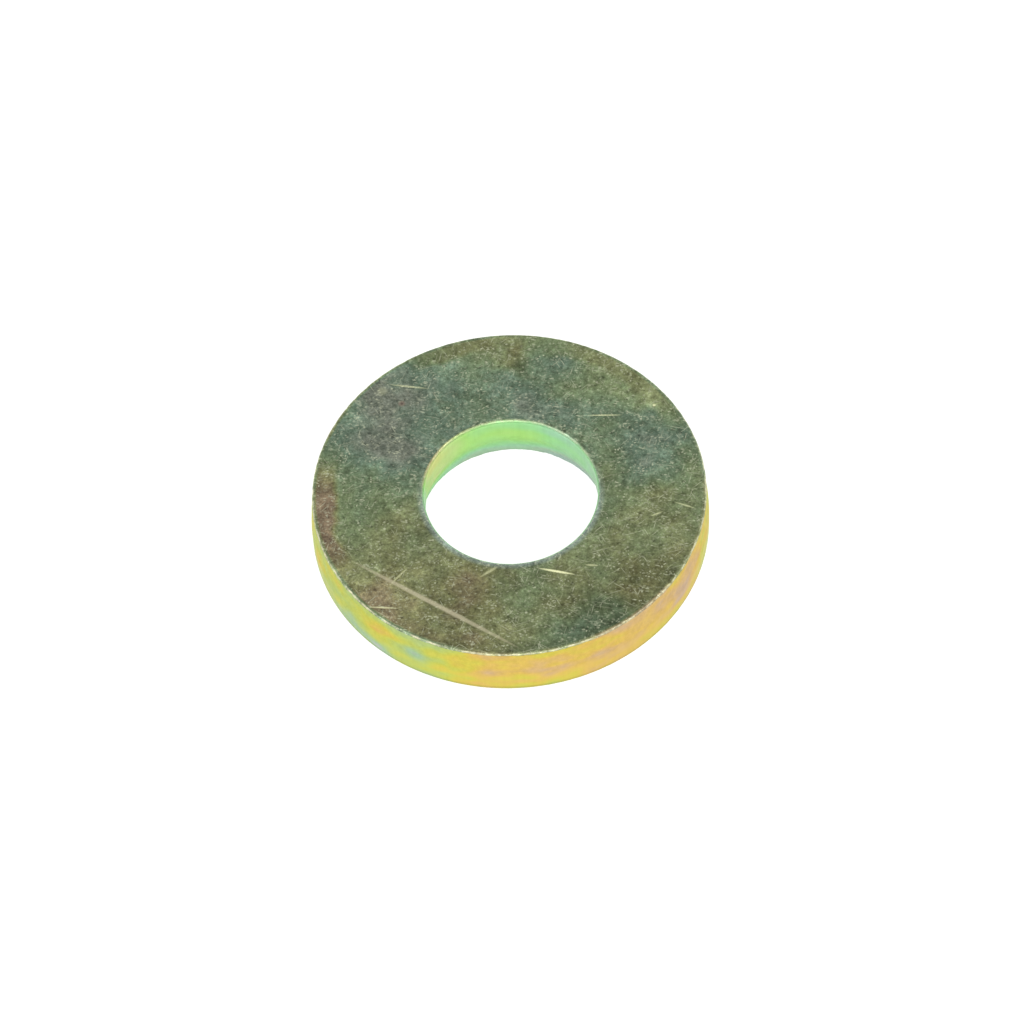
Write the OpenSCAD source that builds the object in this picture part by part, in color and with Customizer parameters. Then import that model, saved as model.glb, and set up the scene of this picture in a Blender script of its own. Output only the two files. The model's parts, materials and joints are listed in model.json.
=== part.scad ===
// Thick flat washer, punched from steel plate in one stroke.
// The punch travels down: it rounds the hole's top rim and the ring's bottom edge, leaves a true
// cylinder beside each, and the metal then breaks away at a slant through the rest of the thickness.
// Origin: centre of the bottom face. +Z runs up the hole's axis.

/* [Washer] */
// Outside diameter at its widest
outer_d = 39.7; // [36:0.05:44]
// Hole diameter at its narrowest
hole_d = 17.25; // [15:0.05:19]
// Thickness
thickness = 5.9; // [5:0.1:8]

/* [Hole wall, from the top down] */
// Radius of the rounded rim at the top face
hole_rim_r = 0.35; // [0.1:0.05:0.8]
// Height of the cylindrical band below the rounded rim
hole_band_h = 2.4; // [1:0.1:3.5]
// Extra radius of the hole at the bottom face
hole_flare = 0.85; // [0.1:0.05:1.2]

/* [Outer wall, from the bottom up] */
// Radius of the rounded edge at the bottom face
foot_edge_r = 0.6; // [0.1:0.05:1]
// Height of the cylindrical band above the rounded edge
outer_band_h = 2; // [1:0.1:3.5]
// Radius lost between that band and the top face
outer_taper = 0.25; // [0.05:0.05:0.6]
// Size of the broken edge at the top face
top_edge_break = 0.25; // [0.05:0.05:0.4]

/* [Hidden] */

outer_r = outer_d / 2;
hole_r = hole_d / 2;
top_r = outer_r - outer_taper;
hole_band_z = thickness - hole_rim_r - hole_band_h;
outer_band_z = foot_edge_r + outer_band_h;
// How far a cutting shape reaches past the surface it cuts
cut_past = 0.5;
turn_facets = 180;

// The waste outside a quarter circle of radius r, from the circle's centre towards +X and +Y
module corner_waste(r) {
    difference() {
        square(r + cut_past);
        circle(r, $fn = turn_facets);
    }
}

// Cross-section of the ring, with radius along X and height along Y
module ring_section() {
    difference() {
        polygon([
            [hole_r + hole_flare, 0],
            [outer_r, 0],
            [outer_r, outer_band_z],
            [top_r, thickness - top_edge_break],
            [top_r - top_edge_break, thickness],
            [hole_r, thickness],
            [hole_r, hole_band_z]
        ]);
        translate([hole_r + hole_rim_r, thickness - hole_rim_r])
            mirror([1, 0]) corner_waste(hole_rim_r);
        translate([outer_r - foot_edge_r, foot_edge_r])
            mirror([0, 1]) corner_waste(foot_edge_r);
    }
}

module washer() {
    color("darkkhaki")
        rotate_extrude($fn = turn_facets)
            ring_section();
}

washer();
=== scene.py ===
import json
import math

import bpy
import numpy as np
from mathutils import Matrix, Vector, noise


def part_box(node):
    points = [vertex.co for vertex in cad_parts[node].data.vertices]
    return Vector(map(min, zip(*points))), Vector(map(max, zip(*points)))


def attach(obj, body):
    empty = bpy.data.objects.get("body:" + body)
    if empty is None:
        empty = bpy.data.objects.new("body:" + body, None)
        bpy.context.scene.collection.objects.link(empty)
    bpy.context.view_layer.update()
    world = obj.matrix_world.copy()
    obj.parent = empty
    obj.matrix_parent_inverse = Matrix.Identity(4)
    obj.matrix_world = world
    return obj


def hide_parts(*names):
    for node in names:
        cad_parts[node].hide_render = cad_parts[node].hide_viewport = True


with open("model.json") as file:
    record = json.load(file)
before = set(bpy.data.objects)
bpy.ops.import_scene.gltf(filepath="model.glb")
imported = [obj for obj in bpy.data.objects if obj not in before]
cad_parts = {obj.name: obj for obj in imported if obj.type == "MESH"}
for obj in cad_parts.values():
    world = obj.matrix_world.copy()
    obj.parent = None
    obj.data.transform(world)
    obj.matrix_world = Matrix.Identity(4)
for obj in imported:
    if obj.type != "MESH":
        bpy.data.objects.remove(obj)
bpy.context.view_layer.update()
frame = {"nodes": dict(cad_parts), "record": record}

# One thick flat washer, punched from steel plate, zinc plated and yellow passivated, on a light table.
# Lengths are in millimetres until a mesh is made. Angles go round +Z from +X, so 270 is the front.
MM = 0.001
TURN = 2 * math.pi

# ---------------------------------------------------------------- sizes, worked out from the frame
low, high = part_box("washer")
outer_r = high.x / MM
thickness = high.z / MM
bore = next(m for m in frame["record"]["mounts"] if m["name"] == "bore")
hole_r = bore["dims"]["r_mm"]
bore_mid_z = bore["pos_m"][2] / MM
bore_band_h = bore["dims"]["length_mm"]
bore_band_low = bore_mid_z - bore_band_h / 2
hole_rim_r = thickness - bore_mid_z - bore_band_h / 2


# How close two lengths of the CAD mesh must be to count as equal.
SAME = 0.001
cad_points = [v.co / MM for v in frame["nodes"]["washer"].data.vertices]
cad_outline = [(math.hypot(p.x, p.y), p.z) for p in cad_points]


def cad_radii(height):
    """Smallest and largest radius of the CAD washer's points at one height."""
    radii = [r for r, z in cad_outline if abs(z - height) < SAME]
    return min(radii), max(radii)


hole_foot_r, foot_flat_r = cad_radii(0)
rim_flat_r, top_flat_r = cad_radii(thickness)
middle_r = (hole_foot_r + outer_r) / 2
foot_edge_r = outer_r - foot_flat_r
outer_band_top = max(z for r, z in cad_outline if abs(r - outer_r) < SAME)
wall_break_z = max(z for r, z in cad_outline if r > middle_r and z < thickness - SAME)
top_break = thickness - wall_break_z
top_wall_r = top_flat_r + top_break

# The punch ran out a little to one side, and the metal under the hole broke away further that way.
hole_shift_top = Vector((0.17, -0.05))
hole_shift_foot = Vector((0.33, -0.12))

# ---------------------------------------------------------------- marks on the top face
# The one deep score, and the plainest scratches: from x, y to x, y, width, and how far each one lightens the
# plating.
SCORE = ((-16.0, -7.3), (0.3, -18.9), 0.52, 0.68)
SCRATCHES = [
    ((2.4, -9.5), (6.0, -10.5), 0.24, 1.00),
    ((-11.5, 14.0), (-7.5, 13.2), 0.22, 0.46),
    ((8.0, 8.8), (11.8, 8.6), 0.13, 0.60),
    ((-14.4, -13.0), (-11.3, -13.4), 0.16, 0.60),
    ((-12.0, -10.4), (-10.4, -8.7), 0.18, 0.42),
    ((-3.3, -10.2), (-1.4, -9.0), 0.28, 0.42),
    ((13.8, -4.0), (15.1, -3.5), 0.14, 0.45),
    ((16.2, -2.4), (18.4, -3.4), 0.14, 0.46),
    ((7.0, -9.4), (8.4, -9.6), 0.22, 0.44),
]

# The two plainest spots on the top face: x, y, radius, and how far each one lightens the plating.
SPOTS = [(-12.2, 13.2, 0.55, 0.20), (15.0, 9.6, 0.18, 0.75)]
# A small dark pit with reddish stain round it: x, y and radius.
PIT = (-10.3, 11.5, 0.16)

# Broad zones of the plating on the top face, as x, y, reach, film and tone. Film runs along the colour scales
# further down from 0, purple-brown, through ochre and green to 1, grey-blue. Tone is how light it looks.
FACE_ZONES = [
    (-12, 9, 5.0, 0.96, 0.96),    # grey-blue, back left
    (0, 13, 5.0, 0.80, 0.95),     # green-grey, behind the hole
    (0, 18, 2.5, 0.24, 1.02),     # ochre, back edge
    (13, 13, 3.5, 0.50, 1.08),    # light olive, back right
    (13, 5, 4.0, 0.82, 0.96),     # blue-green, right of the hole
    (13, -4, 4.5, 0.44, 0.98),    # olive, right
    (13, -12, 2.5, 0.30, 0.84),   # dark brown and green, front right
    (7, -16, 2.5, 0.70, 0.78),    # dark green, front
    (2, -13, 3.5, 0.42, 0.96),    # olive, front of the hole
    (-5, -13, 3.0, 0.16, 0.92),   # brown, front left
    (-13, -13, 2.5, 0.08, 1.06),  # light brown, front left edge
    (-10, -6, 4.0, 0.40, 1.00),   # olive, left
    (-16, 1, 3.0, 0.58, 0.98),    # green, far left
]

# Strips of film along the top face's outer edge: middle angle, half-width in degrees, film and strength.
EDGE_STRIPS = [(186, 19, 0.00, 1.0), (50, 24, 0.34, 0.8), (104, 14, 0.20, 0.6)]

# Film on the outer wall, as angle and film, at the places where its colour turns: green on the left, gold at
# the front, rose on the right, and plain green round the back.
OUTER_FILM = [(15, 0.56), (90, 0.50), (180, 0.46), (240, 0.54), (258, 0.28), (315, 0.12), (345, 0.34)]

# The few patches that stand out on the outer wall, green-blue and then rose: angle, height, reach and film.
OUTER_PATCHES = [(214, 1.4, 1.8, 0.80), (240, 3.2, 1.4, 0.90), (284, 3.2, 1.2, 0.00), (317, 3.4, 1.2, 0.02)]

# Film on the hole's wall, as angle and film: yellow back left, green at the back, blue-green right and left.
HOLE_FILM = [(0, 0.84), (45, 0.68), (80, 0.47), (115, 0.47), (150, 0.25), (185, 0.78), (270, 0.48)]


# ---------------------------------------------------------------- small helpers for shapes
def smooth(edge0, edge1, x):
    """0 below edge0, 1 above edge1, and a smooth step between them."""
    t = np.clip((x - edge0) / (edge1 - edge0), 0, 1)
    return t * t * (3 - 2 * t)


def round_and_back(stops, angle):
    """Value at an angle in degrees, smoothly between (angle, value) stops.

    It joins up all the way round only when the first stop is at 0. An angle below the first stop runs on from
    the first pair instead, which leaves a step at 0.
    """
    stops = sorted(stops)
    angles = np.array([a for a, _ in stops] + [stops[0][0] + 360])
    values = np.array([v for _, v in stops] + [stops[0][1]])
    angle = np.mod(angle, 360)
    i = np.clip(np.searchsorted(angles, angle, side="right") - 1, 0, len(stops) - 1)
    t = (angle - angles[i]) / (angles[i + 1] - angles[i])
    t = t * t * (3 - 2 * t)
    return values[i] * (1 - t) + values[i + 1] * t


def grain(points, size, seed=0.0, layers=3):
    """Layered smooth noise, about -1 to 1, whose largest lumps are size across."""
    turn_up, thin_out = 2.1, 0.55
    offset = Vector((seed * 17.3, seed * 5.1, seed * 9.7))
    flat = points.reshape(-1, 3) / size
    out = np.empty(len(flat))
    for i, p in enumerate(flat):
        value, scale, weight = 0.0, 1.0, 1.0
        v = Vector(p) + offset
        for _ in range(layers):
            value += weight * noise.noise(v * scale)
            scale *= turn_up
            weight *= thin_out
        out[i] = value
    return out.reshape(points.shape[:-1]) * 1.6


def segment(xy, start, end):
    """Distance from points to a line segment, and how far along it they lie, from 0 to 1."""
    start, end = np.array(start), np.array(end)
    along = end - start
    t = np.clip(((xy - start) @ along) / (along @ along), 0, 1)
    return np.hypot(*np.moveaxis(xy - (start + t[..., None] * along), -1, 0)), t


# ---------------------------------------------------------------- the washer's shape
STEPS_ROUND = 864
TOP, RIM, BORE, FOOT_FACE, FOOT_EDGE, OUTER, EDGE = range(7)


def arc(centre, radius, start, end, steps):
    """Points of an arc in the cross-section, without its first one. Angles are in degrees."""
    angles = np.radians(np.linspace(start, end, steps + 1)[1:])
    return [(centre[0] + radius * math.cos(a), centre[1] + radius * math.sin(a)) for a in angles]


def line(start, end, steps):
    """Points of a straight stretch, without its first one."""
    return [tuple(p) for p in np.linspace(start, end, steps + 1)[1:]]


def cross_section():
    """The ring's outline as (radius, height) points, and each one's part, from the foot face out and up."""
    foot = line((hole_foot_r, 0), (foot_flat_r, 0), 14)
    foot_edge = arc((foot_flat_r, foot_edge_r), foot_edge_r, -90, 0, 6)
    outer = line((outer_r, foot_edge_r), (outer_r, outer_band_top), 8)
    outer += line((outer_r, outer_band_top), (top_wall_r, wall_break_z), 11)
    edge = arc((top_flat_r, wall_break_z), top_break, 0, 90, 6)
    top = line((top_flat_r, thickness), (rim_flat_r, thickness), 44)
    rim = arc((rim_flat_r, thickness - hole_rim_r), hole_rim_r, 90, 180, 6)
    hole = line((hole_r, thickness - hole_rim_r), (hole_r, bore_band_low), 7)
    hole += line((hole_r, bore_band_low), (hole_foot_r, 0), 10)
    parts = [
        (FOOT_FACE, foot), (FOOT_EDGE, foot_edge), (OUTER, outer), (EDGE, edge),
        (TOP, top), (RIM, rim), (BORE, hole),
    ]
    points = [p for _, stretch in parts for p in stretch]
    labels = [label for label, stretch in parts for _ in stretch]
    return np.array(points), np.array(labels)


def section_normals(points):
    """Outward normals of the closed cross-section, in (radius, height)."""
    along = np.roll(points, -1, 0) - np.roll(points, 1, 0)
    normal = np.stack([along[:, 1], -along[:, 0]], 1)
    return normal / np.linalg.norm(normal, axis=1)[:, None]


def washer_grid():
    """Every point of the ring before its surface is worked: positions, normals and parts."""
    section, labels = cross_section()
    normals = section_normals(section)
    angle = np.arange(STEPS_ROUND) * TURN / STEPS_ROUND
    radius = section[:, 0][None, :] * np.ones((STEPS_ROUND, 1))
    height = section[:, 1][None, :] * np.ones((STEPS_ROUND, 1))
    out = np.stack([np.cos(angle), np.sin(angle)], 1)
    xy = radius[..., None] * out[:, None, :]
    # the hole's run-out, which dies away across the flat faces
    share = np.clip((outer_r - radius) / (outer_r - hole_foot_r), 0, 1)
    up = height / thickness
    shift = np.array(hole_shift_foot) * (1 - up)[..., None] + np.array(hole_shift_top) * up[..., None]
    shift = shift * np.where(labels == OUTER, 0, share)[..., None]
    place = np.concatenate([xy + shift, height[..., None]], -1)
    normal_xy = normals[:, 0][None, :, None] * out[:, None, :]
    normal_z = np.broadcast_to(normals[:, 1][None, :, None], (STEPS_ROUND, len(section), 1))
    return place, np.concatenate([normal_xy, normal_z], -1), labels, np.degrees(angle)


def mark_depths(place, labels):
    """Depth of the score, scratches and dents at each point. Only the top face has any."""
    random = np.random.default_rng(16)
    top = labels == TOP
    xy = place[:, top, :2]
    depth = np.zeros(xy.shape[:2])
    groove, lip = 0.035, 0.014
    for start, end, width, _ in [SCORE, *SCRATCHES]:
        distance, t = segment(xy, start, end)
        ends = np.sin(np.pi * np.clip(t, 0.02, 0.98)) ** 0.5
        half = width / 2 + 0.05
        depth += groove * np.exp(-((distance / half) ** 2)) * ends
        depth -= lip * np.exp(-(((distance - 1.9 * half) / half) ** 2)) * ends
    dents = 70
    for _ in range(dents):
        angle, r = random.uniform(0, TURN), random.uniform(rim_flat_r, top_flat_r)
        size, deep = random.uniform(0.18, 0.5), random.uniform(0.008, 0.03)
        distance = np.hypot(xy[..., 0] - r * math.cos(angle), xy[..., 1] - r * math.sin(angle))
        depth += deep * np.exp(-((distance / size) ** 2))
    full = np.zeros(place.shape[:2])
    full[:, top] = depth
    return full


def washer_points():
    """The worked surface: final positions, parts and the attributes that the plating reads."""
    place, normal, labels, angle = washer_grid()
    z = place[..., 2]
    is_face = np.isin(labels, (TOP, FOOT_FACE))[None, :]
    is_outer = np.isin(labels, (OUTER, FOOT_EDGE))[None, :]
    is_hole = (labels == BORE)[None, :]
    is_edge = (labels == EDGE)[None, :]
    squash = np.array([1, 1, 2.2])
    lumps = grain(place, 3.5, 1, 2)
    fine = grain(place * squash, 0.55, 2, 2)
    torn = grain(place * squash, 1.1, 3, 3)
    nicks = grain(place, 0.8, 4, 3)

    # how far up each wall the clean band ends and the torn metal begins
    outer_line = outer_band_top + 0.35 * grain(place * np.array([1, 1, 0]), 5, 5, 2)
    hole_line = bore_band_low + 0.30 * grain(place * np.array([1, 1, 0]), 4, 6, 2)
    outer_torn = smooth(-0.25, 0.35, z - outer_line) * is_outer
    hole_torn = smooth(-0.25, 0.35, hole_line - z) * is_hole

    inward = 0.010 + 0.006 * lumps * is_face + 0.005 * fine
    inward += np.clip(0.030 + 0.030 * torn, 0, None) * (outer_torn + hole_torn)
    front = 0.25 + 0.75 * smooth(-0.1, 0.6, -np.sin(np.radians(angle)))[:, None]
    inward += np.clip(nicks - 0.15, 0, 1) * 0.09 * front * is_edge
    inward += mark_depths(place, labels)
    # the plate's face falls away slightly towards the broken edge
    r = np.hypot(place[..., 0], place[..., 1])
    inward += 0.035 * smooth(top_flat_r - 1.2, top_flat_r, r) * (labels == TOP)[None, :]
    inward = np.clip(inward, 0, None)
    worked = place - normal * inward[..., None]

    film, tone = plating_fields(place, labels, angle)
    wall = np.broadcast_to(is_outer | is_hole, film.shape).astype(float)
    wall = np.where((labels == RIM)[None, :], 1 - smooth(0.60, 1.0, (z - thickness) / hole_rim_r + 1), wall)
    wear_and_highlight = wear_and_highlight_field(place, labels, angle, nicks)
    rolled = rolled_field(place, labels, angle)
    return worked, labels, {
        "film": film, "tone": tone, "wall": wall, "wear_and_highlight": wear_and_highlight, "rolled": rolled,
        "torn": outer_torn + hole_torn,
    }


def patch_blend(across, up, patches, start, hold):
    """Values of soft round patches, each (across, up, reach, value, ...), blended over starting values.

    hold is how strongly the starting values hold against the patches.
    """
    fade = 2.6
    total = np.full(across.shape, hold)
    values = [total * one for one in start]
    for x, y, reach, *own in patches:
        weight = (1 + ((across - x) ** 2 + (up - y) ** 2) / reach**2) ** -fade
        total = total + weight
        values = [sum_so_far + weight * one for sum_so_far, one in zip(values, own)]
    return [value / total for value in values]


def from_back(angle):
    """Length along the outer wall from the back, where there are no patches, so that no seam shows."""
    return np.radians(np.mod(angle - 90, 360)) * outer_r


def plating_fields(place, labels, angle):
    """Thickness of the passive film at each point, 0 to 1, and how light the plating looks."""
    warp = np.stack([grain(place, 3.0, 7, 2), grain(place, 3.0, 8, 2)], -1)
    xy = place[..., :2] + 0.8 * warp
    face, tone = patch_blend(xy[..., 0], xy[..., 1], FACE_ZONES, (0.5, 1.0), 0.02)
    face = face + 0.11 * grain(place, 4.5, 14, 3)
    tone = tone + 0.06 * grain(place, 3.2, 15, 3)

    # strips of film run along the outer edge, and the top face is darker along its front edge
    r = np.hypot(place[..., 0], place[..., 1])
    front = smooth(-0.3, 0.7, -np.sin(np.radians(angle)))[:, None]
    to_edge = top_flat_r - r
    darker_front_edge = front * (1 - smooth(0.2, 1.3, to_edge)) * smooth(-0.5, 0.6, grain(place, 1.8, 12, 2))
    tone = tone - 0.17 * darker_front_edge
    near_edge = smooth(17.1, 18.0, r + 0.35 * warp[..., 0])
    for middle, half, film, strength in EDGE_STRIPS:
        strip = np.exp(-(((angle - middle) / half) ** 4))[:, None] * near_edge * strength
        face = face + (film - face) * strip
    # round the right of the hole the plate is pitted
    chewed = np.exp(-(((angle - 38) / 26) ** 2))[:, None] * (1 - smooth(0.8, 1.8, r - rim_flat_r))
    tone = tone + 0.13 * chewed * grain(place, 0.6, 13, 2)

    degrees = angle[:, None] + 2.0 * grain(place, 4.0, 9, 2)
    z = place[..., 2]
    base = round_and_back(OUTER_FILM, degrees)
    spots = [(from_back(a), h, reach, film) for a, h, reach, film in OUTER_PATCHES]
    outer = patch_blend(from_back(degrees), z, spots, (base,), 0.6)[0]
    outer = outer + 0.16 * (1 - smooth(0.9, 2.4, z)) + 0.08 * smooth(4.6, 5.4, z)
    hole = round_and_back(HOLE_FILM, degrees)
    hole = hole + 0.26 * (1 - smooth(1.0, 2.8, z)) + 0.14 * (1 - smooth(0.4, 1.6, z))
    green_top = 0.14 * np.cos(np.radians(2 * (degrees - 75)))
    hole = hole + green_top * smooth(4.1, 5.0, z)

    is_outer = np.isin(labels, (OUTER, FOOT_EDGE, EDGE))[None, :]
    is_hole = np.isin(labels, (BORE, RIM))[None, :]
    film = np.where(is_outer, outer, np.where(is_hole, hole, face))
    film = film + np.where(is_outer, 0.15, 0.03) * grain(place * np.array([0.65, 0.65, 1.5]), 2.4, 10, 2)
    tone = np.where(is_outer | is_hole, 1.0, tone)
    tone = np.where((labels == RIM)[None, :], 1.05, tone)
    tone = np.where((labels == FOOT_EDGE)[None, :], 0.90, tone)
    return np.clip(film, 0, 1), tone


def rolled_field(place, labels, angle):
    """Where the plate rolls softly down into the hole at the front, and looks plain grey."""
    from_hole = np.hypot(place[..., 0] - hole_shift_top.x, place[..., 1] - hole_shift_top.y) - hole_r
    front = smooth(-0.5, 0.5, -np.sin(np.radians(angle)))[:, None]
    on_top = np.isin(labels, (TOP, RIM))[None, :]
    return front * on_top * (1 - smooth(hole_rim_r, hole_rim_r + 0.55, from_hole))


def wear_and_highlight_field(place, labels, angle, nicks):
    """How far the plating is rubbed bright, partly painted highlight: the broken edge, strongest at the
    front, and the hole's rim, mostly at its back, each where it leans about 45 degrees.
    """
    z = place[..., 2]
    front = 0.50 + 0.50 * smooth(-0.7, 0.3, -np.sin(np.radians(angle)))[:, None]
    lean = np.degrees(np.arcsin(np.clip((z - wall_break_z) / top_break, 0, 1)))
    # painted highlight with real rubbing: a band where the broken edge leans about 45 degrees, strongest at
    # the front
    edge = (labels == EDGE)[None, :] * np.exp(-(((lean - 45) / 24) ** 2)) * front * (0.7 + 0.5 * nicks)
    back = smooth(0.0, 0.6, np.sin(np.radians(angle)))[:, None]
    lean = np.degrees(np.arcsin(np.clip((z - (thickness - hole_rim_r)) / hole_rim_r, 0, 1)))
    # painted highlight along the hole's rim where it leans about 45 degrees, stronger at the back
    rim = (labels == RIM)[None, :] * np.exp(-(((lean - 45) / 24) ** 2)) * (0.1 + 0.25 * back)
    return np.clip(edge + rim, 0, 1)


def make_washer():
    """Builds the washer's mesh from rings of points and gives it its attributes."""
    points, labels, fields = washer_points()
    rounds, stations = points.shape[:2]
    index = np.arange(rounds * stations).reshape(rounds, stations)
    here, next_round = index, np.roll(index, -1, 0)
    faces = np.stack(
        [here, next_round, np.roll(next_round, -1, 1), np.roll(here, -1, 1)], -1
    ).reshape(-1, 4)
    mesh = bpy.data.meshes.new("washer_ring")
    mesh.from_pydata((points.reshape(-1, 3) * MM).tolist(), [], faces.tolist())
    for name, values in fields.items():
        attribute = mesh.attributes.new(name, "FLOAT", "POINT")
        attribute.data.foreach_set("value", values.astype(np.float32).ravel())
    mesh.validate()
    mesh.shade_smooth()
    ring = bpy.data.objects.new("washer_ring", mesh)
    bpy.context.scene.collection.objects.link(ring)
    return ring


# ---------------------------------------------------------------- node helpers
class Graph:
    """Short calls that add shader nodes to one tree and return the socket that carries the result."""

    def __init__(self, tree):
        self.tree = tree
        tree.nodes.clear()

    def add(self, kind, inputs=(), **settings):
        node = self.tree.nodes.new(kind)
        for name, value in settings.items():
            setattr(node, name, value)
        for name, value in dict(inputs).items():
            self.feed(node.inputs[name], value)
        return node

    def feed(self, socket, value):
        if isinstance(value, bpy.types.NodeSocket):
            self.tree.links.new(value, socket)
        else:
            socket.default_value = value

    def math(self, operation, a, b=0.0, clamp=False):
        return self.add("ShaderNodeMath", {0: a, 1: b}, operation=operation, use_clamp=clamp).outputs[0]

    def vector(self, operation, a, b=(0, 0, 0)):
        node = self.add("ShaderNodeVectorMath", {0: a, 1: b}, operation=operation)
        return node.outputs["Value" if operation in ("LENGTH", "DOT_PRODUCT") else "Vector"]

    def scaled(self, a, amount):
        return self.add("ShaderNodeVectorMath", {0: a, "Scale": amount}, operation="SCALE").outputs[0]

    def step(self, value, start, end, low=0.0, high=1.0):
        """A smooth step of value from start to end."""
        inputs = {"Value": value, "From Min": start, "From Max": end, "To Min": low, "To Max": high}
        return self.add("ShaderNodeMapRange", inputs, interpolation_type="SMOOTHSTEP").outputs[0]

    def mix(self, share, a, b, blend="MIX"):
        node = self.add("ShaderNodeMix", data_type="RGBA", blend_type=blend)
        for socket, value in zip((node.inputs[0], node.inputs[6], node.inputs[7]), (share, a, b)):
            self.feed(socket, value)
        return node.outputs[2]

    def noise(self, place, size, detail=2.0, roughness=0.5):
        inputs = {"Vector": place, "Scale": 1 / size, "Detail": detail, "Roughness": roughness}
        return self.add("ShaderNodeTexNoise", inputs).outputs["Fac"]

    def ramp(self, value, stops):
        """A colour scale through (position, colour) stops."""
        node = self.add("ShaderNodeValToRGB", {"Fac": value})
        elements = node.color_ramp.elements
        while len(elements) < len(stops):
            elements.new(1.0)
        for element, (position, colour) in zip(elements, stops):
            element.position = position
            element.color = (*colour, 1)
        return node.outputs["Color"]


def linear(r, g, b, light=1.0):
    """The reflectance that looks like this sRGB colour, 0 to 255, when it mirrors light of that strength."""
    def one(value):
        value /= 255
        return (value / 12.92 if value <= 0.04045 else ((value + 0.055) / 1.055) ** 2.4) / light
    return (one(r), one(g), one(b))


# ---------------------------------------------------------------- the plating
# How strong the light is from overhead, and the light that the top face and the walls mirror once the
# softboxes and the pale horizon are added. BARE is the light that falls on bare, dull marks.
OVERHEAD = 0.60
FACE_LIGHT = 0.645
TABLE = 1.20
BARE = 0.95
FACE_SCALE = [
    (0.00, (132, 116, 95)), (0.13, (130, 122, 92)), (0.27, (124, 125, 87)), (0.42, (118, 126, 90)),
    (0.55, (113, 127, 93)), (0.70, (108, 126, 99)), (0.84, (106, 126, 107)), (1.00, (117, 123, 110)),
]
OUTER_SCALE = [
    (0.00, (212, 184, 154)), (0.12, (224, 190, 128)), (0.25, (230, 198, 104)), (0.38, (222, 208, 90)),
    (0.50, (208, 212, 98)), (0.62, (196, 211, 118)), (0.75, (186, 208, 142)), (0.88, (172, 204, 162)),
    (1.00, (196, 204, 196)),
]
HOLE_SCALE = [
    (0.00, (224, 212, 146)), (0.15, (216, 224, 140)), (0.30, (200, 227, 148)), (0.45, (180, 230, 132)),
    (0.60, (167, 227, 156)), (0.75, (170, 220, 182)), (0.88, (176, 206, 176)), (1.00, (171, 196, 186)),
]


# Looked-for colours of what isn't a film: plain rolled metal, pale scratches and painted glints, the score,
# the named scratches, the pit's stain and hollow, and rubbed edges with painted highlights.
ROLLED_METAL = (134, 149, 137)
PALE_SCRATCH_AND_GLINT = (206, 210, 180)
SCORED_METAL = (198, 190, 160)
SCRATCHED_METAL = (240, 242, 190)
PIT_STAIN = (150, 112, 100)
PIT_HOLLOW = (70, 62, 56)
RUBBED_METAL_AND_HIGHLIGHT = (226, 220, 184)


def scale_colour(g, film, scale, light):
    """The plating's colour for a film thickness, on a scale of looked-for colours under that light."""
    return g.ramp(film, [(position, linear(*colour, light=light)) for position, colour in scale])


def hairlines(g, place, turn, length, width, keep):
    """Short straight scratches at one angle, in the share of the cells that keep gives."""
    turned = g.add("ShaderNodeVectorRotate", {"Vector": place, "Angle": math.radians(turn)},
                   rotation_type="Z_AXIS").outputs[0]
    cells = g.vector("MULTIPLY", turned, (1 / length, 1 / width, 0))
    voronoi = g.add("ShaderNodeTexVoronoi", {"Vector": cells, "Scale": 1.0}, voronoi_dimensions="2D")
    near = g.step(voronoi.outputs["Distance"], 0.15, 0.50, 1, 0)
    pick = g.add("ShaderNodeSeparateColor", {"Color": voronoi.outputs["Color"]}).outputs[0]
    return g.math("MULTIPLY", near, g.step(pick, 1 - keep, 1.0))


def flecks(g, place, size, keep):
    """Small round specks, one to a cell, in the given share of the cells, each with its own strength."""
    cells = g.add("ShaderNodeTexVoronoi", {"Vector": place, "Scale": 1 / size})
    pick = g.add("ShaderNodeSeparateColor", {"Color": cells.outputs["Color"]}).outputs[1]
    near = g.step(cells.outputs["Distance"], 0.12, 0.48, 1, 0)
    return g.math("MULTIPLY", near, g.step(pick, 1 - keep, 1.0))


def scratch(g, place, start, end, width):
    """One straight scratch that tapers at its ends."""
    a, b = Vector((*start, 0)), Vector((*end, 0))
    along = b - a
    from_a = g.vector("SUBTRACT", place, a)
    t = g.math("DIVIDE", g.vector("DOT_PRODUCT", from_a, along), along.length_squared, clamp=True)
    nearest = g.scaled(along, t)
    distance = g.vector("LENGTH", g.vector("SUBTRACT", from_a, nearest))
    taper = g.math("POWER", g.math("SINE", g.math("MULTIPLY", t, math.pi)), 0.5)
    reach = g.math("MULTIPLY", taper, width / 2 + 0.02)
    across = g.math("DIVIDE", distance, g.math("ADD", reach, 0.01))
    return g.math("MULTIPLY", g.step(across, 0.35, 1.25, 1, 0), taper)


def spot(g, place, x, y, radius):
    """A soft round spot."""
    distance = g.vector("LENGTH", g.vector("SUBTRACT", place, (x, y, 0)))
    return g.step(distance, radius * 0.4, radius * 1.3, 1, 0)


def strongest(g, masks):
    """The highest of several masks at each point."""
    top = masks[0]
    for mask in masks[1:]:
        top = g.math("MAXIMUM", top, mask)
    return top


def named_marks(g, flat):
    """Masks of the scratches and spots that have their own places, and of the deep score."""
    lines = [g.math("MULTIPLY", scratch(g, flat, a, b, width), light) for a, b, width, light in SCRATCHES]
    dots = [g.math("MULTIPLY", spot(g, flat, x, y, radius), light) for x, y, radius, light in SPOTS]
    start, end, width, light = SCORE
    score = g.math("MULTIPLY", scratch(g, flat, start, end, width), light)
    return strongest(g, lines + dots), score


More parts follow.
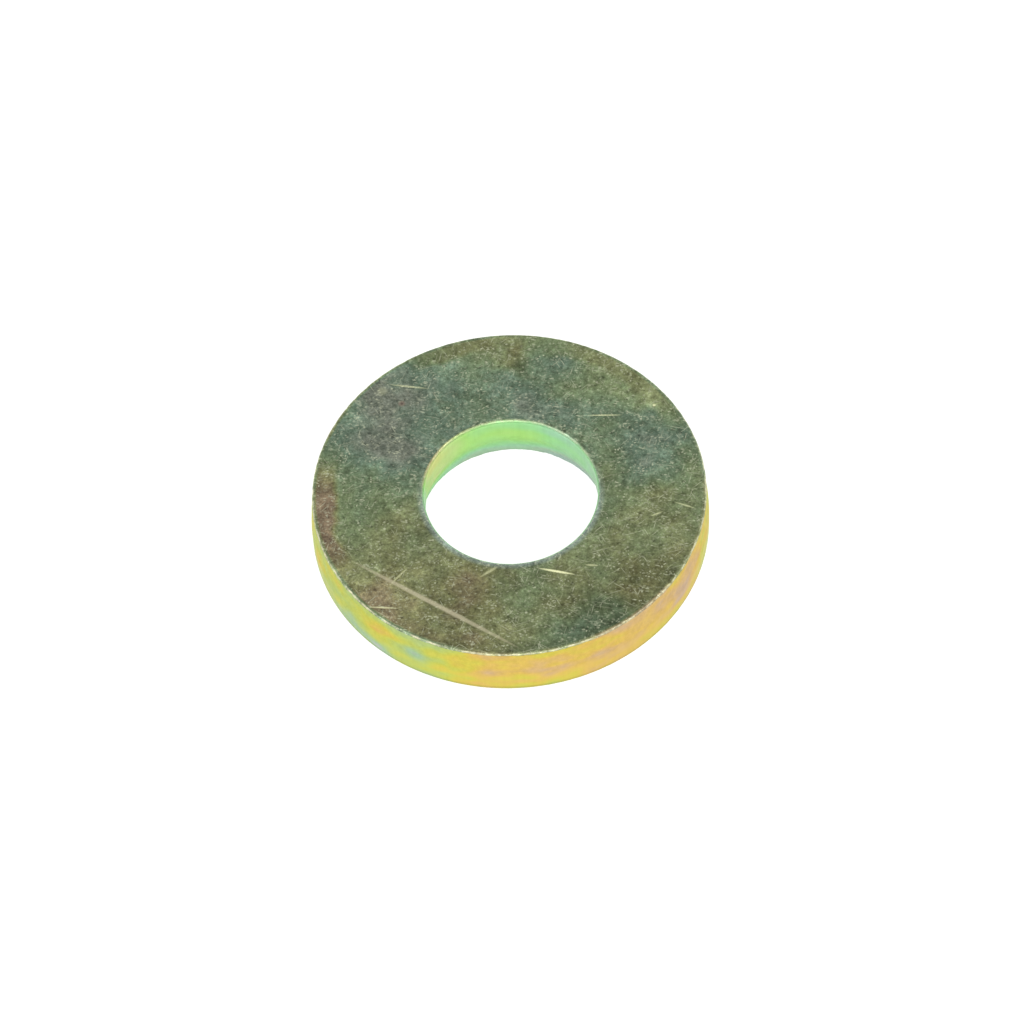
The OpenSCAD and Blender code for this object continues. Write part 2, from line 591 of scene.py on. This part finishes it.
def mottling(g, place):
    """Fine lighter and darker grain of the rolled plate under the plating, as a factor round 1."""
    lump, spread = 0.9, 3.0
    value = g.math("SUBTRACT", g.noise(place, lump, 3.2, 0.92), 0.5)
    broad = g.math("SUBTRACT", g.noise(place, 2.2, 2, 0.6), 0.5)
    value = g.math("ADD", g.math("MULTIPLY", value, spread), g.math("MULTIPLY", broad, 0.45))
    return g.math("EXPONENT", value)


def plating():
    """Yellow passivated zinc: film colours, grain, flecks (the bright ones painted glints), scratches and
    rubbed edges with painted highlights.
    """
    material = bpy.data.materials.new("yellow_passivated_zinc")
    material.use_nodes = True
    g = Graph(material.node_tree)
    place = g.scaled(g.add("ShaderNodeTexCoord").outputs["Object"], 1 / MM)
    flat = g.vector("MULTIPLY", place, (1, 1, 0))
    streaky = g.vector("MULTIPLY", place, (0.5, 0.5, 1.6))
    names = ("film", "tone", "wall", "wear_and_highlight", "rolled", "torn")
    attribute = {n: g.add("ShaderNodeAttribute", attribute_name=n).outputs["Fac"] for n in names}
    up = g.add("ShaderNodeSeparateXYZ", {0: place}).outputs[2]
    on_face = g.math("SUBTRACT", 1.0, attribute["wall"], clamp=True)
    on_top = g.math("MULTIPLY", on_face, g.step(up, thickness * 0.5, thickness * 0.9))
    outside = g.step(g.vector("LENGTH", flat), middle_r - 1, middle_r + 1)

    # film colours, with small lumps in the film
    lumps = g.math("SUBTRACT", g.noise(place, 0.9, 3, 0.6), 0.5)
    streaks = g.math("SUBTRACT", g.noise(streaky, 2.0, 2, 0.5), 0.5)
    face_film = g.math("ADD", attribute["film"], g.math("MULTIPLY", lumps, 0.14), clamp=True)
    uneven = g.math("ADD", 0.12, g.math("MULTIPLY", outside, 0.28))
    wall_film = g.math("ADD", attribute["film"], g.math("MULTIPLY", streaks, uneven), clamp=True)
    face = scale_colour(g, face_film, FACE_SCALE, FACE_LIGHT)
    hole_wall = scale_colour(g, wall_film, HOLE_SCALE, TABLE)
    outer_wall = scale_colour(g, wall_film, OUTER_SCALE, TABLE)
    wall = g.mix(outside, hole_wall, outer_wall)
    face = g.mix(attribute["rolled"], face, (*linear(*ROLLED_METAL, light=FACE_LIGHT), 1))
    colour = g.mix(attribute["wall"], face, wall)

    # lighter and darker places, from the patches down to the grain
    grain_shade = mottling(g, place)
    # the punch left upright drag lines on the clean bands, and the torn metal is coarser
    upright = g.vector("MULTIPLY", place, (1, 1, 0.06))
    drag = g.step(g.noise(upright, 0.30, 2, 0.6), 0.25, 0.75, 0.975, 1.025)
    coarse = g.step(g.noise(place, 0.50, 3, 0.75), 0.28, 0.72, 0.93, 1.05)
    wall_shade = g.add("ShaderNodeMix", {0: attribute["torn"], 2: drag, 3: coarse}).outputs[0]
    shade = g.add("ShaderNodeMix", {0: attribute["wall"], 2: grain_shade, 3: wall_shade}).outputs[0]
    shade = g.math("MULTIPLY", shade, g.math("POWER", attribute["tone"], 2.2))
    pits = g.math("MAXIMUM", flecks(g, place, 0.5, 0.35), flecks(g, flat, 0.31, 0.4))
    pits = g.math("MULTIPLY", pits, on_face)
    shade = g.math("MULTIPLY", shade, g.math("SUBTRACT", 1.0, g.math("MULTIPLY", pits, 0.38)))
    grey_shade = g.add("ShaderNodeCombineColor", {0: shade, 1: shade, 2: shade}).outputs[0]
    colour = g.mix(1.0, colour, grey_shade, "MULTIPLY")

    # bright flecks on the flat faces, which are painted glints, and pale hairline scratches
    drift = g.add("ShaderNodeTexNoise", {"Vector": place, "Scale": 0.4}).outputs["Color"]
    curl = g.add("ShaderNodeTexNoise", {"Vector": place, "Scale": 2.2}).outputs["Color"]
    bent = g.vector("ADD", g.vector("ADD", flat, g.scaled(drift, 0.25)), g.scaled(curl, 0.12))
    crowd = g.step(g.noise(flat, 5.0, 2, 0.5), 0.38, 0.62, 0.35, 1.0)
    cluster = g.step(g.noise(flat, 1.3, 2.5, 0.7), 0.36, 0.68, 0.20, 1.40)
    lines = strongest(g, [hairlines(g, bent, *one) for one in (
        (14, 3.0, 0.10, 0.025), (36, 2.2, 0.10, 0.03), (63, 1.4, 0.11, 0.03), (-14, 3.4, 0.10, 0.03),
        (-40, 1.8, 0.10, 0.025), (108, 1.2, 0.11, 0.03), (-71, 1.6, 0.10, 0.02))])
    lines = g.math("MULTIPLY", lines, crowd)
    dashes = strongest(g, [hairlines(g, bent, *one) for one in (
        (6, 0.60, 0.22, 0.12), (44, 0.34, 0.22, 0.10), (-28, 0.46, 0.21, 0.12), (98, 0.30, 0.24, 0.08),
        (20, 0.80, 0.18, 0.08), (-9, 0.36, 0.26, 0.12))])
    specks = strongest(g, [g.math("MULTIPLY", mask, share) for mask, share in (
        (flecks(g, place, 0.25, 0.46), 0.42), (flecks(g, place, 0.42, 0.30), 0.50), (dashes, 0.48))])
    # the painted glints and the real hairline scratches, together, take the pale colour below
    scratches_and_glints = g.math("MAXIMUM", g.math("MULTIPLY", specks, cluster), g.math("MULTIPLY", lines, 0.56))
    scratches_and_glints = g.math("MULTIPLY", scratches_and_glints, on_face)
    pale = (*linear(*PALE_SCRATCH_AND_GLINT, light=FACE_LIGHT), 1)
    colour = g.mix(scratches_and_glints, colour, pale)

    # the marks that have their own places, on the top face only
    named, score = named_marks(g, flat)
    score, named = g.math("MULTIPLY", score, on_top), g.math("MULTIPLY", named, on_top)
    colour = g.mix(score, colour, (*linear(*SCORED_METAL, light=BARE), 1))
    colour = g.mix(named, colour, (*linear(*SCRATCHED_METAL, light=BARE), 1))
    pit_x, pit_y, pit_r = PIT
    pit_reach = g.vector("LENGTH", g.vector("SUBTRACT", flat, (pit_x, pit_y, 0)))
    stain = g.math("MULTIPLY", g.step(pit_reach, pit_r, 3 * pit_r, 0.35, 0), on_top)
    colour = g.mix(stain, colour, (*linear(*PIT_STAIN, light=FACE_LIGHT), 1))
    hollow = g.math("MULTIPLY", g.step(pit_reach, 0.4 * pit_r, 1.3 * pit_r, 0.6, 0), on_top)
    colour = g.mix(hollow, colour, (*linear(*PIT_HOLLOW, light=FACE_LIGHT), 1))

    # rubbed edges, partly painted highlights along the broken edge and the hole's rim
    rubbed_and_highlight = g.math("MULTIPLY", attribute["wear_and_highlight"], g.step(g.noise(place, 0.7, 3, 0.6), 0.32, 0.60))
    colour = g.mix(rubbed_and_highlight, colour, (*linear(*RUBBED_METAL_AND_HIGHLIGHT, light=BARE), 1))
    dull = strongest(g, [score, named, rubbed_and_highlight])

    rough = g.math("ADD", g.step(lumps, -0.2, 0.2, 0.46, 0.34), g.math("MULTIPLY", attribute["torn"], 0.10))
    height = g.math("ADD", g.math("MULTIPLY", shade, 0.5), g.math("MULTIPLY", scratches_and_glints, -0.5))
    bump = g.add("ShaderNodeBump", {"Height": height, "Strength": 0.35, "Distance": 0.03 * MM})
    shader = g.add("ShaderNodeBsdfPrincipled", {
        "Base Color": colour, "Metallic": g.math("SUBTRACT", 1.0, dull), "Roughness": rough,
        "Specular Tint": (0.86, 0.86, 0.78, 1), "Normal": bump.outputs[0]})
    output = g.add("ShaderNodeOutputMaterial")
    g.tree.links.new(shader.outputs[0], output.inputs["Surface"])
    return material


# ---------------------------------------------------------------- light table, studio and camera
def light_table():
    """A pale acrylic table that glows softly, so that nothing on it throws a hard shadow."""
    reach = 4.0
    mesh = bpy.data.meshes.new("light_table")
    corners = [(-reach, -reach, 0), (reach, -reach, 0), (reach, reach, 0), (-reach, reach, 0)]
    mesh.from_pydata(corners, [], [(0, 1, 2, 3)])
    table = bpy.data.objects.new("light_table", mesh)
    bpy.context.scene.collection.objects.link(table)
    table.location.z = low.z
    material = bpy.data.materials.new("pale_acrylic")
    material.use_nodes = True
    shader = material.node_tree.nodes["Principled BSDF"]
    shader.inputs["Base Color"].default_value = (0.40, 0.40, 0.40, 1)
    shader.inputs["Roughness"].default_value = 0.9
    shader.inputs["Specular IOR Level"].default_value = 0.2
    shader.inputs["Emission Color"].default_value = (1, 1, 1, 1)
    shader.inputs["Emission Strength"].default_value = 0.85
    mesh.materials.append(material)


def studio():
    """Pale walls low down and a dim ceiling, which is what the washer's top face mirrors."""
    world = bpy.data.worlds.new("studio")
    bpy.context.scene.world = world
    world.use_nodes = True
    g = Graph(world.node_tree)
    up = g.add("ShaderNodeSeparateXYZ", {0: g.add("ShaderNodeTexCoord").outputs["Generated"]}).outputs[2]
    grey = [(0.0, 1.0), (0.16, 1.0), (0.42, 0.62), (0.70, OVERHEAD), (1.0, OVERHEAD)]
    sky = g.ramp(up, [(p, (v, v, v)) for p, v in grey])
    background = g.add("ShaderNodeBackground", {"Color": sky, "Strength": 1.0})
    output = g.add("ShaderNodeOutputWorld")
    g.tree.links.new(background.outputs[0], output.inputs["Surface"])


def softbox(name, azimuth, elevation, distance, size, power):
    """A square soft light that faces the washer. Azimuth 0 is in front of it."""
    data = bpy.data.lights.new(name, "AREA")
    data.shape, data.size, data.energy = "SQUARE", size, power
    a, e = math.radians(azimuth), math.radians(elevation)
    back = Vector((math.sin(a) * math.cos(e), -math.cos(a) * math.cos(e), math.sin(e)))
    lamp = bpy.data.objects.new(name, data)
    bpy.context.scene.collection.objects.link(lamp)
    lamp.location = back * distance
    lamp.rotation_euler = back.to_track_quat("Z", "Y").to_euler()


def camera():
    """A long lens, above and in front of the washer, rolled a little so that its right side rides higher."""
    elevation, roll = math.radians(54.5), math.radians(3.1)
    distance, lens = 0.470, 165.9
    aim = Vector((0.18 * MM, -0.51 * MM, thickness / 2 * MM))
    back = Vector((0, -math.cos(elevation), math.sin(elevation)))
    data = bpy.data.cameras.new("camera")
    data.lens, data.sensor_width = lens, 36.0
    data.clip_start, data.clip_end = 0.01, 20.0
    view = bpy.data.objects.new("camera", data)
    bpy.context.scene.collection.objects.link(view)
    facing = back.to_track_quat("Z", "Y").to_matrix().to_4x4()
    view.matrix_world = Matrix.Translation(aim + back * distance) @ facing @ Matrix.Rotation(-roll, 4, "Z")
    bpy.context.scene.camera = view


camera()
light_table()
studio()
softbox("front_softbox", 0, 34, 0.8, 0.45, 1.6)
softbox("left_softbox", -70, 50, 0.9, 0.5, 1.5)
softbox("right_softbox", 75, 50, 0.9, 0.5, 1.5)
bpy.context.scene.view_settings.view_transform = "Standard"

ring = make_washer()
ring.data.materials.append(plating())
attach(ring, "root")
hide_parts("washer")
